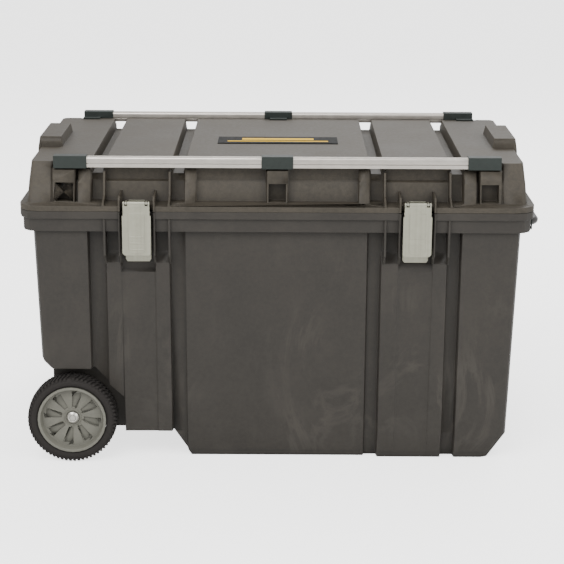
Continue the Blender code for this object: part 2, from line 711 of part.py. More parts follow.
# ---- latches --------------------------------------------------------------------
def make_latch_base(place, x):
    plate_front = PLATE_BACK_Y + PLATE_SHEET
    outline = [(x - 0.0250, 0.4985), (x - 0.0250, 0.4140), (x - 0.0215, 0.4090),
               (x + 0.0215, 0.4090), (x + 0.0250, 0.4140), (x + 0.0250, 0.4985)]
    base = prism_object(f"latch_base_{place}", mats["steel"], outline, "Y", (-plate_front, -PLATE_BACK_Y))
    pivot_y, pivot_z = LATCH_PIVOT
    ring = arc((pivot_y, pivot_z), 0.0036, 80, 280, 6)
    arm = [(-0.2720, 0.4500), (-0.2720, 0.4910), (-0.2868, 0.4985), (-0.2868, 0.5290)]
    arm += [(-0.2960, 0.5355)] + ring
    arm += [(-0.2960, 0.5230), (-0.2925, 0.5200), (-0.2925, 0.4940), (-0.2820, 0.4700)]
    join(base, prism_object(f"arms_{place}", None, arm, "X", (x - ARM_OUTER, x - ARM_INNER),
                            (x + ARM_INNER, x + ARM_OUTER)))
    bm = bmesh.new()
    add_rod(bm, (x, pivot_y, pivot_z), "X", PIN_HOLE_RADIUS, 0.08, 10)
    for dx in (-RIVET_SPREAD, RIVET_SPREAD):
        add_rod(bm, (x + dx, -PLATE_BACK_Y, RIVET_Z), "Y", 0.0024, 0.02, 10)
    cut(base, finish_object(f"latch_base_bores_{place}", bm, None))
    bm = bmesh.new()
    add_rod(bm, (x, pivot_y, pivot_z), "X", PIN_RADIUS, 2 * LEVER_TOP_HALF - 0.0004, 10)
    pin = finish_object(f"latch_pin_{place}", bm, mats["steel"], 35)
    return base, pin


def make_lever(place, x):
    pivot_y, pivot_z = LATCH_PIVOT
    front = pivot_y - ROLL_RADIUS - 0.0002
    back = -0.2960
    notch_low = pivot_z - 0.0045
    sheet = front + LEVER_SHEET
    outline = [(x - LEVER_HALF, 0.5070), (x - LEVER_HALF, 0.4340), (x - LEVER_HALF + 0.004, LEVER_BOTTOM_Z),
               (x + LEVER_HALF - 0.004, LEVER_BOTTOM_Z), (x + LEVER_HALF, 0.4340), (x + LEVER_HALF, 0.5070),
               (x + LEVER_TOP_HALF, 0.5090), (x + LEVER_TOP_HALF, notch_low),
               (x - LEVER_TOP_HALF, notch_low), (x - LEVER_TOP_HALF, 0.5090)]
    lever = prism_object(f"latch_lever_{place}", mats["steel"], outline, "Y", (front, sheet))
    flange = [(sheet - 0.0002, 0.4345), (-0.2990, 0.4345), (back, 0.4420),
              (back, 0.5080), (sheet - 0.0002, 0.5080)]
    left_edge = (x - LEVER_HALF, x - LEVER_HALF + 0.0012)
    right_edge = (x + LEVER_HALF - 0.0012, x + LEVER_HALF)
    join(lever, prism_object(f"lever_flanges_{place}", None, flange, "X", left_edge, right_edge))
    stretches = ((x - LEVER_TOP_HALF, x - 0.0225), (x - 0.0165, x + 0.0165), (x + 0.0225, x + LEVER_TOP_HALF))
    bm = bmesh.new()
    for start, end in stretches:
        add_rod(bm, ((start + end) / 2, pivot_y, pivot_z), "X", ROLL_RADIUS, end - start, 14)
    join(lever, finish_object(f"lever_roll_{place}", bm, None))
    sizes = [((start, end), (front + 0.0003, sheet + 0.0002), (notch_low - 0.001, pivot_z))
             for start, end in stretches]
    join(lever, box_object(f"lever_wrap_{place}", None, *sizes))
    bm = bmesh.new()
    add_rod(bm, (x, pivot_y, pivot_z), "X", PIN_HOLE_RADIUS, 0.08, 10)
    cut(lever, finish_object(f"lever_bore_{place}", bm, None))
    return lever


def claw_pivot():
    pivot_y, pivot_z = LATCH_PIVOT
    return pivot_y - CLAW_ARM * math.cos(CLAW_ANGLE), pivot_z - CLAW_ARM * math.sin(CLAW_ANGLE)


def make_claw(place, x):
    y, z = claw_pivot()
    barrel = arc((y, z), 0.0034, 100, 350, 7)
    outline = barrel + [(-0.2905, 0.5200), (-0.2860, 0.5300), (-0.2860, 0.5345), (-0.2895, 0.5350),
                        (-0.2885, 0.5300), (-0.2935, 0.5225)]
    claw = prism_object(f"latch_claw_{place}", mats["steel"], outline, "X", (x - CLAW_HALF, x + CLAW_HALF))
    bm = bmesh.new()
    add_rod(bm, (x, y, z), "X", PIN_HOLE_RADIUS, 0.08, 10)
    cut(claw, finish_object(f"claw_bore_{place}", bm, None))
    bm = bmesh.new()
    add_rod(bm, (x, y, z), "X", PIN_RADIUS, 2 * (LEVER_HALF - 0.0012 - GAP), 10)
    pin = finish_object(f"claw_pin_{place}", bm, mats["steel"], 35)
    return claw, pin


def make_latches():
    for place, x in (("left", -LATCH_X), ("right", LATCH_X)):
        make_latch_base(place, x)
        lever_pivot = pivot(f"lever_pivot_{place}", (x, *LATCH_PIVOT))
        claw_axis = pivot(f"claw_pivot_{place}", (x, *claw_pivot()))
        claw, pin = make_claw(place, x)
        attach(lever_pivot, make_lever(place, x), pin, claw_axis)
        attach(claw_axis, claw)
        make_rivet(f"{place}_outer", x - RIVET_SPREAD)
        make_rivet(f"{place}_inner", x + RIVET_SPREAD)


def make_rivet(place, x):
    """A rivet through the latch's plate; its profile runs from the head to the shank's end."""
    head = 0.0040
    shank = 0.0021
    sheet = PLATE_SHEET + GAP
    profile = [(0, 0.0016), (head - 0.0015, 0.0016), (head, 0.0004), (head, 0), (shank, 0),
               (shank, -sheet), (0, -sheet)]
    rivet = turned(f"latch_rivet_{place}", profile, 12, mats["steel"])
    rivet.location = (x, -PLATE_BACK_Y - PLATE_SHEET - GAP, RIVET_Z)


# ---- wheels, axle and hinge pins --------------------------------------------------
def make_wheel(place, sign):
    """sign is -1 for the front wheel, whose outer face looks along -Y."""
    width = TYRE_WIDTH
    outer = WHEEL_RADIUS
    seat = RIM_RADIUS + GAP
    half = width / 2
    tyre_profile = [(outer, half - 0.009), (outer, -half + 0.009), (outer - 0.0045, -half + 0.0025),
                    (seat + 0.004, -half + 0.0005), (seat, -half + 0.002), (seat, half - 0.002),
                    (seat + 0.004, half - 0.0005), (outer - 0.0045, half - 0.0025)]
    tyre = turned(f"tyre_{place}", tyre_profile, 40, mats["rubber"])
    ring = RIM_RADIUS
    bore = BUSH_RADIUS + GAP
    hub_profile = [(ring, half), (ring, -half + 0.002), (ring - 0.005, -half + 0.002), (ring - 0.007, -0.004),
                   (0.018, -0.002), (0.0165, -half + 0.004), (bore, -half + 0.004), (bore, 0.0030),
                   (0.0165, 0.0050), (0.0175, 0.0030), (ring - 0.009, 0.0075), (ring - 0.005, half)]
    hub = turned(f"wheel_hub_{place}", hub_profile, 32, mats["hub"])
    bush_profile = [(BUSH_RADIUS, 0.0028), (BUSH_RADIUS, -half + 0.0042),
                    (AXLE_RADIUS + GAP, -half + 0.0042), (AXLE_RADIUS + GAP, 0.0028)]
    bush = turned(f"wheel_bush_{place}", bush_profile, 16, mats["nylon"])
    middle = Vector((WHEEL_X, sign * (WHEEL_FRONT_Y - half), WHEEL_RADIUS))
    turn = math.pi / 2 if sign < 0 else -math.pi / 2
    cutter = hub_recesses(f"hub_recesses_{place}")
    for item in (tyre, hub, bush, cutter):
        item.rotation_euler = (turn, 0, 0)
        item.location = middle
    cut(hub, cutter)
    cap_profile = [(0.0125, 0.0068), (0.0125, 0.0056), (AXLE_RADIUS + GAP, 0.0056),
                   (AXLE_RADIUS + GAP, 0.0100), (0.0088, 0.0100)]
    cap = turned(f"push_cap_{place}", cap_profile, 16, mats["steel"])
    washer_profile = [(0.0120, -half + 0.0036), (0.0120, -half + 0.0020),
                      (AXLE_RADIUS + GAP, -half + 0.0020), (AXLE_RADIUS + GAP, -half + 0.0036)]
    washer = turned(f"wheel_washer_{place}", washer_profile, 16, mats["steel"])
    for item in (cap, washer):
        item.rotation_euler = (turn, 0, 0)
        item.location = middle


def hub_recesses(name):
    """Wedge-shaped pockets between the spokes, in the wheel's own turned frame."""
    bm = bmesh.new()
    step = 2 * math.pi / SPOKES
    for index in range(SPOKES):
        middle = math.radians(80) + index * step
        corners = []
        for radius, half_angle in ((0.0225, 0.20), (0.0545, 0.17)):
            for side in (-1, 1):
                angle = middle + side * half_angle
                corners.append(bm.verts.new((radius * math.cos(angle), radius * math.sin(angle), 0.0015)))
        face = bm.faces.new((corners[0], corners[1], corners[3], corners[2]))
        result = bmesh.ops.extrude_face_region(bm, geom=[face])
        moved = [part for part in result["geom"] if isinstance(part, bmesh.types.BMVert)]
        bmesh.ops.translate(bm, verts=moved, vec=(0, 0, 0.03))
    return finish_object(name, bm, None)


def make_rods():
    bm = bmesh.new()
    add_rod(bm, (WHEEL_X, 0, WHEEL_RADIUS), "Y", AXLE_RADIUS, 2 * (AXLE_HALF_LENGTH + 0.0055), 16)
    finish_object("axle", bm, mats["steel"], 35)
    for place, x in zip(("left", "middle", "right"), HINGE_XS):
        bm = bmesh.new()
        add_rod(bm, (x, HINGE_Y, HINGE_Z), "X", HINGE_PIN_RADIUS, 2 * TUB_KNUCKLE_END - 0.001, 10)
        finish_object(f"hinge_pin_{place}", bm, mats["steel"], 35)


# ---- pull handle -------------------------------------------------------------------
def make_handle():
    bend_x = HANDLE_BAR_X - HANDLE_BEND
    bend_y = HANDLE_Y - HANDLE_BEND
    route = [(HANDLE_LEG_START_X, -HANDLE_Y)]
    route += arc((bend_x, -bend_y), HANDLE_BEND, -90, 0, 4)
    route += arc((bend_x, bend_y), HANDLE_BEND, 0, 90, 4)
    route.append((HANDLE_LEG_START_X, HANDLE_Y))
    curve = bpy.data.curves.new("handle_route", "CURVE")
    curve.dimensions = "3D"
    curve.bevel_depth = HANDLE_TUBE_RADIUS
    curve.bevel_resolution = 3
    curve.use_fill_caps = True
    spline = curve.splines.new("POLY")
    spline.points.add(len(route) - 1)
    for point, (x, y) in zip(spline.points, route):
        point.co = (x, y, HANDLE_Z, 1)
    handle = bpy.data.objects.new("pull_handle", curve)
    curve.materials.append(mats["handle_paint"])
    parts.objects.link(handle)
    for place, sign in (("front", -1), ("rear", 1)):
        bm = bmesh.new()
        start = (HANDLE_LEG_START_X - 0.0143, sign * HANDLE_Y, HANDLE_Z)
        add_rod(bm, start, "X", GUIDE_BORE - 0.0006, 0.028, 12)
        finish_object(f"leg_stop_{place}", bm, mats["nylon"], 35)
        make_guide(place, sign)
        make_socket(place, sign)


def make_guide(place, sign):
    half = GUIDE_HALF
    sides = sorted((sign * (HANDLE_Y - half), sign * (HANDLE_Y + half)))
    size = ((-0.4610, 0.4620), sides, (HANDLE_Z - half, HANDLE_Z + half))
    guide = box_object(f"handle_guide_{place}", mats["trim"], size)
    bm = bmesh.new()
    add_rod(bm, (0, sign * HANDLE_Y, HANDLE_Z), "X", GUIDE_BORE, 1.2, 16)
    cut(guide, finish_object(f"guide_bore_{place}", bm, None))


def make_socket(place, sign):
    sides = sorted((sign * 0.2245, sign * 0.2635))
    size = ((0.4925, 0.4948), sides, (HANDLE_Z - 0.0130, HANDLE_Z + 0.0105))
    socket = box_object(f"handle_socket_{place}", mats["trim"], size)
    hole = sorted((sign * 0.2280, sign * 0.2600))
    cut(socket, box_object(f"socket_hole_{place}", None,
                           ((0.480, 0.510), hole, (HANDLE_Z - 0.0095, HANDLE_Z + 0.0095))))


# ---- tote tray -----------------------------------------------------------------------
def make_tray():
    lip_z = HANDLE_Z + GUIDE_HALF + GAP
    top = lip_z + TRAY_WALL
    body = (TRAY_X, (-TRAY_HALF_Y, TRAY_HALF_Y), (TRAY_BOTTOM_Z, top))
    tray = box_object("tote_tray", mats["tray"], body)
    join(tray, box_object("tray_lips", None, (TRAY_X, (-0.2620, 0.2620), (lip_z, top))))
    wall = TRAY_WALL
    for index, (start, end) in enumerate(((-TRAY_HALF_Y, -0.0015), (0.0015, TRAY_HALF_Y))):
        inner_y = (start + (wall if index == 0 else 0), end - (0 if index == 0 else wall))
        cut(tray, box_object(f"tray_well_{index}", None,
                             ((TRAY_X[0] + wall, TRAY_X[1] - wall), inner_y, (TRAY_BOTTOM_Z + wall, 0.600))))
    grip = box_object("tray_grip", None, ((-0.290, -0.186), (-0.010, 0.010), (0.474, 0.496)))
    cut(tray, grip)


# ---- assembly ------------------------------------------------------------------------
def make_badge():
    sizes = ((-0.1230, 0.1230), (-0.0545, 0.0150), (LID_TOP_Z + GAP, LID_TOP_Z + 0.0017))
    return box_object("badge_plate", mats["badge"], sizes)


def make_chest():
    make_tub()
    lid = make_lid()
    seal = ring_object("lid_seal", mats["rubber"], GAP, (LID_BASE_Z + GAP, LID_BASE_Z + 0.0032))
    attach(pivot("lid_pivot", (0, HINGE_Y, HINGE_Z)), lid, seal, make_badge(), *make_rails())
    make_latches()
    make_wheel("front", -1)
    make_wheel("rear", 1)
    make_rods()
    make_handle()
    make_tray()


clear_scene()
parts = new_collection("job_chest")
cutters = new_collection("cutters")
mats = {
    "moulding": make_material("moulded_tub", (85, 80, 75), 0.62),
    "lid_moulding": make_material("moulded_lid", (98, 91, 84), 0.60),
    "trim": make_material("green_black_trim", (60, 66, 62), 0.55),
    "aluminium": make_material("rail_aluminium", (196, 190, 182), 0.32, 1.0),
    "steel": make_material("latch_steel", (178, 178, 164), 0.38, 0.9),
    "hub": make_material("hub_plastic", (145, 143, 132), 0.55),
    "rubber": make_material("tyre_rubber", (62, 56, 52), 0.80),
    "nylon": make_material("bush_nylon", (190, 188, 180), 0.50),
    "badge": make_material("badge_black", (28, 26, 25), 0.40),
    "handle_paint": make_material("handle_paint", (52, 50, 48), 0.35, 0.2),
    "tray": make_material("tray_plastic", (70, 66, 62), 0.60),
}
make_chest()
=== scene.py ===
"""Finished looks of the wheeled job chest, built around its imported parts.

Metres, +Z up.  The latches face -Y, the wheels are at -X and the pull handle
comes out at +X.  Every piece keeps its place in its own mesh, with its object
at the origin, and rides on the body of the part that it stands for.
"""

import json
import math

import bmesh
import bpy
from bpy.props import FloatProperty, FloatVectorProperty, IntProperty, PointerProperty
from mathutils import Matrix, Vector

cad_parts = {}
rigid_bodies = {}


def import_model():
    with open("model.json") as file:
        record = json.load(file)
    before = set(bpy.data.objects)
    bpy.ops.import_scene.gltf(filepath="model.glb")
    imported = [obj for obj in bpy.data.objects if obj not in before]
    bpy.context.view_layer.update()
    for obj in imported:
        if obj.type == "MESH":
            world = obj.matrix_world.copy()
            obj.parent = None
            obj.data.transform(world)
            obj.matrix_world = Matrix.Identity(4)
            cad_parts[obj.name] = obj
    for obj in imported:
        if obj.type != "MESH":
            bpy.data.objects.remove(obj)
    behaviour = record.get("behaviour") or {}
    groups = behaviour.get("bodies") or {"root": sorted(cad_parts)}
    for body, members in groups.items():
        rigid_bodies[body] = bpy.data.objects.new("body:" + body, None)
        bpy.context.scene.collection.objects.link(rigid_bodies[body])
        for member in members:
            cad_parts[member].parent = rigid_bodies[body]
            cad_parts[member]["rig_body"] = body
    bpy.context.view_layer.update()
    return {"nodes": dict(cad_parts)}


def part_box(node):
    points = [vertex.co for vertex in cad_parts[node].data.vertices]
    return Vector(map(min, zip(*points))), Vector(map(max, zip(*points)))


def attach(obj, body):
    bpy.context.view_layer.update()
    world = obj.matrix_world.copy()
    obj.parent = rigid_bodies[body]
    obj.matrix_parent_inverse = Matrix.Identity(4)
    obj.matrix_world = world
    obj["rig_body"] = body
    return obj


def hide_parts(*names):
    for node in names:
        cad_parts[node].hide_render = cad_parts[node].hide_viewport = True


bl_info = {
    "name": "Wheeled Job Chest",
    "version": (1, 0, 0),
    "blender": (4, 5, 0),
    "location": "3D View > Sidebar > Job Chest",
    "description": "Builds the finished looks of a moulded job chest with rails, latches and wheels",
    "category": "Object",
}

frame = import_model()

PLACES = ("front", "rear")
HANDS = ("left", "right")

MERGE_DISTANCE = 0.00002      # loose vertices closer than this are one
FLAT_ANGLE = math.radians(1.0)
ROOM_FACTOR = 2.4             # how many rounding widths an edge or face has to span
GRIP_LEVELS = (0.0365, 0.0240, 0.0115)   # heights of the grip bars over the lever's lower edge
LEVER_SET_BACK = 0.0008       # the lever's flat sheet behind its rolled top
HANDLE_BEND = 0.022
BEND_STEPS = 12
TYRE_STEPS = 96
LENS = 102.1
SENSOR = 36.0
CAMERA_PLACE = (0.0101, -3.278, 1.223)
CAMERA_DIP = 15.87            # degrees below level
CAMERA_ROLL = 0.3
LIGHT_TARGET = (0, 0, 0.35)
SURROUND_SHARE = 2.5          # the surround's extra brightness, over the floor's


def linear(red, green, blue):
    """A colour given in 0 to 255 display values, as Blender's linear values."""
    shares = (red / 255, green / 255, blue / 255)
    return tuple(s / 12.92 if s <= 0.04045 else ((s + 0.055) / 1.055) ** 2.4 for s in shares)


# ---- what a user would change ----------------------------------------------
class ChestPlastics(bpy.types.PropertyGroup):
    """Colours and surface of the moulded parts"""

    tub_colour: FloatVectorProperty(name="Tub", description="Colour of the tub's plastic",
                                    subtype="COLOR", size=3, min=0, max=1, default=linear(50, 47, 43))
    lid_colour: FloatVectorProperty(name="Lid", description="Colour of the lid's plastic",
                                    subtype="COLOR", size=3, min=0, max=1, default=linear(62, 57, 49))
    trim_colour: FloatVectorProperty(name="Trim", description="Colour of the rail caps and clips",
                                     subtype="COLOR", size=3, min=0, max=1, default=linear(38, 44, 41))
    tray_colour: FloatVectorProperty(name="Tray", description="Colour of the sliding tray",
                                     subtype="COLOR", size=3, min=0, max=1, default=linear(52, 50, 47))
    edge_round: FloatProperty(name="Edge round", description="Rounding on the moulded edges",
                              subtype="DISTANCE", min=0.0001, max=0.003, default=0.0011)


class ChestMetals(bpy.types.PropertyGroup):
    """Colours of the metal parts"""

    rail_colour: FloatVectorProperty(name="Rails", description="Colour of the extruded rails",
                                     subtype="COLOR", size=3, min=0, max=1, default=linear(198, 192, 184))
    latch_colour: FloatVectorProperty(name="Latches", description="Colour of the plated latches",
                                      subtype="COLOR", size=3, min=0, max=1, default=linear(160, 159, 144))
    handle_colour: FloatVectorProperty(name="Handle", description="Colour of the painted pull handle",
                                       subtype="COLOR", size=3, min=0, max=1, default=linear(44, 42, 41))
    sheet_edge: FloatProperty(name="Sheet edge", description="Rounding on the pressed sheet's edges",
                              subtype="DISTANCE", min=0.00005, max=0.001, default=0.00035)


class ChestWheels(bpy.types.PropertyGroup):
    """Colours and tread of the wheels"""

    tyre_colour: FloatVectorProperty(name="Tyre", description="Colour of the tyre's rubber",
                                     subtype="COLOR", size=3, min=0, max=1, default=linear(36, 33, 31))
    hub_colour: FloatVectorProperty(name="Hub", description="Colour of the spoked hub",
                                    subtype="COLOR", size=3, min=0, max=1, default=linear(108, 107, 98))
    lugs: IntProperty(name="Lugs", description="Tread blocks in each row round the tyre",
                      min=12, max=160, default=64)
    lug_height: FloatProperty(name="Lug height", description="How far the tread blocks stand up",
                              subtype="DISTANCE", min=0.0005, max=0.005, default=0.0030)


class ChestBadge(bpy.types.PropertyGroup):
    """Colours of the plain badge on the lid"""

    plate_colour: FloatVectorProperty(name="Plate", description="Colour of the badge's plate",
                                      subtype="COLOR", size=3, min=0, max=1, default=linear(9, 9, 8))
    mark_colour: FloatVectorProperty(name="Marks", description="Colour of the plain bars on the badge",
                                     subtype="COLOR", size=3, min=0, max=1, default=linear(222, 178, 30))


class ChestStage(bpy.types.PropertyGroup):
    """Floor and light around the chest"""

    floor_colour: FloatVectorProperty(name="Floor", description="Colour of the floor",
                                      subtype="COLOR", size=3, min=0, max=1, default=linear(245, 245, 244))
    light_power: FloatProperty(name="Light", description="Power of the large soft light",
                               subtype="POWER", min=0, max=1000, default=115.0)
    surround: FloatProperty(name="Surround", description="Brightness of the white surround",
                            min=0.0, max=5.0, default=1.0)
    floor_glow: FloatProperty(name="Floor glow", description="How much the floor is lifted towards white",
                              min=0.0, max=10.0, default=2.0)


# ---- shader nodes ------------------------------------------------------------
def add_node(tree, kind, inputs=None, **settings):
    """One node; an input is a value, or the output socket that feeds it."""
    node = tree.nodes.new(kind)
    for key, value in settings.items():
        setattr(node, key, value)
    for key, value in (inputs or {}).items():
        if isinstance(value, bpy.types.NodeSocket):
            tree.links.new(value, node.inputs[key])
        else:
            node.inputs[key].default_value = value
    return node


def maths(tree, operation, *values, clamp=False):
    node = tree.nodes.new("ShaderNodeMath")
    node.operation = operation
    node.use_clamp = clamp
    for index, value in enumerate(values):
        if isinstance(value, bpy.types.NodeSocket):
            tree.links.new(value, node.inputs[index])
        else:
            node.inputs[index].default_value = value
    return node.outputs[0]


def span(tree, value, low, high, out_low=0.0, out_high=1.0):
    """value from low to high, spread from out_low to out_high."""
    inputs = {"Value": value, "From Min": low, "From Max": high, "To Min": out_low, "To Max": out_high}
    return add_node(tree, "ShaderNodeMapRange", inputs).outputs["Result"]


def noise(tree, vector, scale, detail=2.0, roughness=0.5, distortion=0.0):
    inputs = {"Vector": vector, "Scale": scale, "Detail": detail, "Roughness": roughness,
              "Distortion": distortion}
    return add_node(tree, "ShaderNodeTexNoise", inputs).outputs["Fac"]


def stretched(tree, vector, scale):
    return add_node(tree, "ShaderNodeMapping", {"Vector": vector, "Scale": scale}).outputs["Vector"]


def mixed(tree, share, first, second):
    node = tree.nodes.new("ShaderNodeMix")
    node.data_type = "RGBA"
    for key, value in ((0, share), (6, first), (7, second)):
        if isinstance(value, bpy.types.NodeSocket):
            tree.links.new(value, node.inputs[key])
        else:
            node.inputs[key].default_value = value
    return node.outputs[2]


def new_group(name, inputs, outputs):
    """An empty node group with named sockets, and its input and output nodes."""
    group = bpy.data.node_groups.new(name, "ShaderNodeTree")
    for label, kind, default in inputs:
        socket = group.interface.new_socket(name=label, in_out="INPUT", socket_type=kind)
        if default is not None:
            socket.default_value = default
    for label, kind in outputs:
        group.interface.new_socket(name=label, in_out="OUTPUT", socket_type=kind)
    return group, group.nodes.new("NodeGroupInput"), group.nodes.new("NodeGroupOutput")


def grain_group():
    """Fine pits and slow mottling of a moulded or sand-textured surface."""
    group, ins, outs = new_group("moulded_grain", [
        ("Vector", "NodeSocketVector", None), ("Pit Scale", "NodeSocketFloat", 900.0),
        ("Mottle Scale", "NodeSocketFloat", 120.0)],
        [("Height", "NodeSocketFloat"), ("Mottle", "NodeSocketFloat"), ("Speckle", "NodeSocketFloat")])
    pits = noise(group, ins.outputs["Vector"], ins.outputs["Pit Scale"], 3.0, 0.6)
    mottle = noise(group, ins.outputs["Vector"], ins.outputs["Mottle Scale"], 4.0, 0.62)
    slow = noise(group, ins.outputs["Vector"], 9.0, 3.0, 0.55)
    speckle = noise(group, ins.outputs["Vector"], 420.0, 2.0, 0.7)
    group.links.new(pits, outs.inputs["Height"])
    both = maths(group, "ADD", maths(group, "MULTIPLY", mottle, 0.6), maths(group, "MULTIPLY", slow, 0.4))
    group.links.new(span(group, both, 0.36, 0.64), outs.inputs["Mottle"])
    group.links.new(span(group, speckle, 0.56, 0.74), outs.inputs["Speckle"])
    return group


def flow_group():
    """Pale wisps that the melt leaves on a large moulded panel."""
    group, ins, outs = new_group("flow_marks", [
        ("Vector", "NodeSocketVector", None), ("Scale", "NodeSocketFloat", 5.0)],
        [("Mask", "NodeSocketFloat")])
    base = stretched(group, ins.outputs["Vector"], (1.0, 1.0, 0.6))
    swirl = noise(group, base, ins.outputs["Scale"], 7.0, 0.62, 1.6)
    ridge = maths(group, "ABSOLUTE", maths(group, "SUBTRACT", swirl, 0.5))
    line = span(group, ridge, 0.0, 0.055, 1.0, 0.0)
    where = span(group, noise(group, ins.outputs["Vector"], 3.1, 2.0, 0.5), 0.45, 0.66)
    cloud = span(group, noise(group, base, 11.0, 5.0, 0.6, 0.8), 0.5, 0.75)
    wisps = maths(group, "MULTIPLY", line, where)
    group.links.new(maths(group, "ADD", wisps, maths(group, "MULTIPLY", cloud, 0.45), clamp=True),
                    outs.inputs["Mask"])
    return group


def edge_group():
    """Wear on outer edges, lightened partly as a painted highlight, and painted shade in the corners that
    light misses.
    """
    group, ins, outs = new_group("edge_wear_and_painted_light", [
        ("Vector", "NodeSocketVector", None), ("Width", "NodeSocketFloat", 0.0012),
        ("Reach", "NodeSocketFloat", 0.02)],
        [("Wear And Highlight", "NodeSocketFloat"), ("Painted Crevice Shade", "NodeSocketFloat"), ("Normal", "NodeSocketVector")])
    rounded = add_node(group, "ShaderNodeBevel", {"Radius": ins.outputs["Width"]}, samples=4)
    plain = add_node(group, "ShaderNodeNewGeometry")
    normals = {0: rounded.outputs["Normal"], 1: plain.outputs["Normal"]}
    facing = add_node(group, "ShaderNodeVectorMath", normals, operation="DOT_PRODUCT").outputs["Value"]
    edge = span(group, facing, 0.995, 0.86)
    inside = add_node(group, "ShaderNodeAmbientOcclusion", {"Distance": ins.outputs["Reach"]},
                      samples=6).outputs["AO"]
    open_side = span(group, inside, 0.55, 0.9)
    broken = span(group, noise(group, ins.outputs["Vector"], 140.0, 4.0, 0.7), 0.38, 0.62)
    # Lighter band on open, convex edges: rubbed wear, and partly a painted highlight.
    wear_and_highlight = maths(group, "MULTIPLY", maths(group, "MULTIPLY", edge, open_side), broken, clamp=True)
    group.links.new(wear_and_highlight, outs.inputs["Wear And Highlight"])
    # Painted shade: darker where ambient occlusion finds a corner or recess.
    group.links.new(span(group, inside, 0.25, 0.95, 1.0, 0.0), outs.inputs["Painted Crevice Shade"])
    group.links.new(rounded.outputs["Normal"], outs.inputs["Normal"])
    return group


def scratch_group():
    """Thin scratches in two directions."""
    group, ins, outs = new_group("fine_scratches", [("Vector", "NodeSocketVector", None)],
                                 [("Mask", "NodeSocketFloat")])
    total = None
    for scale, low in (((60.0, 60.0, 900.0), 0.66), ((700.0, 700.0, 45.0), 0.68)):
        lines = noise(group, stretched(group, ins.outputs["Vector"], scale), 1.0, 2.0, 0.6, 0.4)
        mask = span(group, lines, low, low + 0.05)
        total = mask if total is None else maths(group, "MAXIMUM", total, mask)
    patches = span(group, noise(group, ins.outputs["Vector"], 14.0, 3.0, 0.6), 0.5, 0.62)
    group.links.new(maths(group, "MULTIPLY", total, patches, clamp=True), outs.inputs["Mask"])
    return group


def brushed_group():
    """Lines left along the metal by rolling, drawing or plating."""
    group, ins, outs = new_group("drawn_lines", [
        ("Vector", "NodeSocketVector", None), ("Stretch", "NodeSocketVector", (4.0, 900.0, 900.0))],
        [("Height", "NodeSocketFloat"), ("Tone", "NodeSocketFloat")])
    along = add_node(group, "ShaderNodeVectorMath", {0: ins.outputs["Vector"], 1: ins.outputs["Stretch"]},
                     operation="MULTIPLY").outputs["Vector"]
    group.links.new(noise(group, along, 1.0, 3.0, 0.6), outs.inputs["Height"])
    cloudy = noise(group, ins.outputs["Vector"], 55.0, 4.0, 0.6)
    both = maths(group, "ADD", maths(group, "MULTIPLY", noise(group, along, 0.35, 2.0, 0.5), 0.5),
                 maths(group, "MULTIPLY", cloudy, 0.5))
    group.links.new(span(group, both, 0.35, 0.65), outs.inputs["Tone"])
    return group


GROUPS = {}
MATERIALS = {}


def placed(tree, name, vector, **inputs):
    """A shared effect placed in a material, fed with the piece's own coordinates."""
    node = add_node(tree, "ShaderNodeGroup", node_tree=GROUPS[name])
    for key, value in inputs.items():
        node.inputs[key.replace("_", " ")].default_value = value
    tree.links.new(vector, node.inputs["Vector"])
    return node.outputs


def new_material(name):
    material = bpy.data.materials.new(name)
    material.use_nodes = True
    tree = material.node_tree
    tree.nodes.clear()
    shader = tree.nodes.new("ShaderNodeBsdfPrincipled")
    output = tree.nodes.new("ShaderNodeOutputMaterial")
    tree.links.new(shader.outputs["BSDF"], output.inputs["Surface"])
    vector = tree.nodes.new("ShaderNodeTexCoord").outputs["Object"]
    MATERIALS[name] = material
    return tree, shader, vector


def toned(colour, factor):
    return (*[min(1.0, value * factor) for value in colour], 1.0)


def plastic(name, colour, roughness=0.6, flow=0.0, wear_and_highlight=0.35, pits=900.0, bump=0.00012, shade=0.55,
            speckle=0.15, mottle=0.16, gloss=0.30):
    """Moulded plastic: grain, flow marks, rubbed edges lightened partly as a painted highlight, and painted
    shade in the corners.
    """
    tree, shader, vector = new_material(name)
    grain = placed(tree, "moulded_grain", vector, Pit_Scale=pits)
    edge = placed(tree, "edge_wear_and_painted_light", vector)
    scratch = placed(tree, "fine_scratches", vector)
    base = mixed(tree, grain["Mottle"], toned(colour, 1 - mottle), toned(colour, 1 + mottle))
    base = mixed(tree, maths(tree, "MULTIPLY", grain["Speckle"], speckle), base, toned(colour, 1.9))
    if flow:
        wisps = placed(tree, "flow_marks", vector)
        base = mixed(tree, maths(tree, "MULTIPLY", wisps["Mask"], flow), base, toned(colour, 2.1))
    base = mixed(tree, maths(tree, "MULTIPLY", scratch["Mask"], 0.12), base, toned(colour, 2.4))
    # Painted shade: corners and recesses darkened towards a dark copy of the colour.
    base = mixed(tree, maths(tree, "MULTIPLY", edge["Painted Crevice Shade"], shade), base, toned(colour, 0.28))
    # Edges lightened: rubbed wear, and partly a painted highlight.
    base = mixed(tree, maths(tree, "MULTIPLY", edge["Wear And Highlight"], wear_and_highlight), base, toned(colour, 2.4))
    tree.links.new(base, shader.inputs["Base Color"])
    rough = maths(tree, "ADD", span(tree, grain["Mottle"], 0.0, 1.0, roughness - 0.07, roughness + 0.07),
                  maths(tree, "MULTIPLY", edge["Wear And Highlight"], -0.12), clamp=True)
    tree.links.new(rough, shader.inputs["Roughness"])
    shader.inputs["Specular IOR Level"].default_value = gloss
    bumped = add_node(tree, "ShaderNodeBump", {"Height": grain["Height"], "Strength": 0.55,
                                               "Distance": bump, "Normal": edge["Normal"]})
    tree.links.new(bumped.outputs["Normal"], shader.inputs["Normal"])
    return MATERIALS[name]


